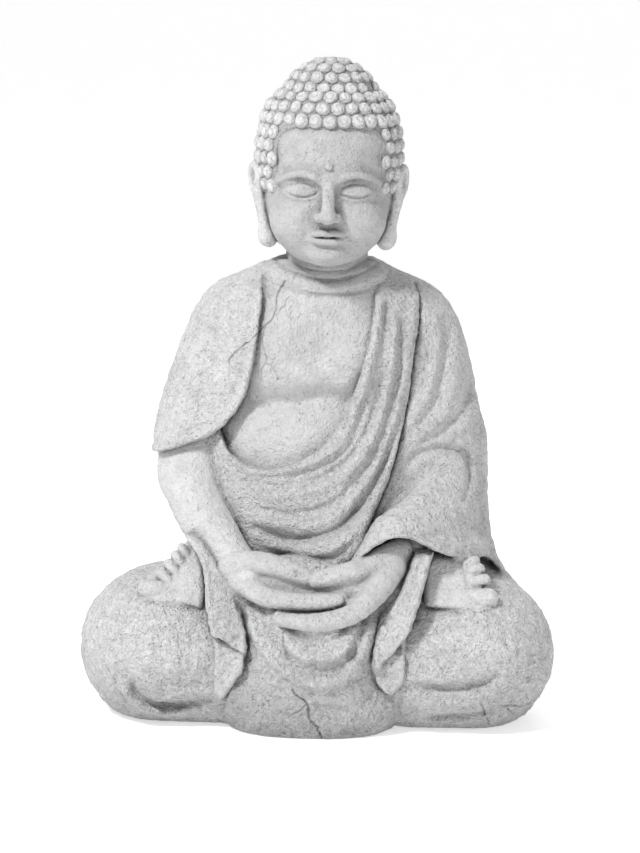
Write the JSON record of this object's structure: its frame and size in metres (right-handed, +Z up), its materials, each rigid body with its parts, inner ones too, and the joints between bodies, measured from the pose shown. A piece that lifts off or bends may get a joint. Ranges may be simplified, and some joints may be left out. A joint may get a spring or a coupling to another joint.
{
  "type": "buddha statue",
  "caption": "Seated garden figure in meditation pose, cast in pale grey stone, with curled hair, long ears, draped robe and hands resting in the lap on a flat underside.",
  "frame": {"origin": "on the ground under the middle of the figure's bounding box", "axes": "+Z up, the figure faces -Y, its own left side is at +X; metres"},
  "size_m": [0.362, 0.232, 0.5],
  "materials": {
    "cast_stone": "matt, fine pitted cast surface with coarser grain on robe and base",
    "rod_steel": "plain mild steel bar, dull"
  },
  "bodies": {
    "root": {"front_apron": "cast_stone", "hair_cap": "cast_stone", "head": "cast_stone", "left_arm": "cast_stone", "left_ear": "cast_stone", "left_foot": "cast_stone", "left_hand": "cast_stone", "left_leg": "cast_stone", "left_robe_edge": "cast_stone", "left_sleeve": "cast_stone", "neck_rod": "rod_steel", "right_arm": "cast_stone", "right_ear": "cast_stone", "right_foot": "cast_stone", "right_hand": "cast_stone", "right_leg": "cast_stone", "right_robe_edge": "cast_stone", "right_sleeve": "cast_stone", "robe_back": "cast_stone", "robe_sash": "cast_stone", "seat": "cast_stone", "torso": "cast_stone", "ushnisha": "cast_stone"}
  },
  "joints": []
}
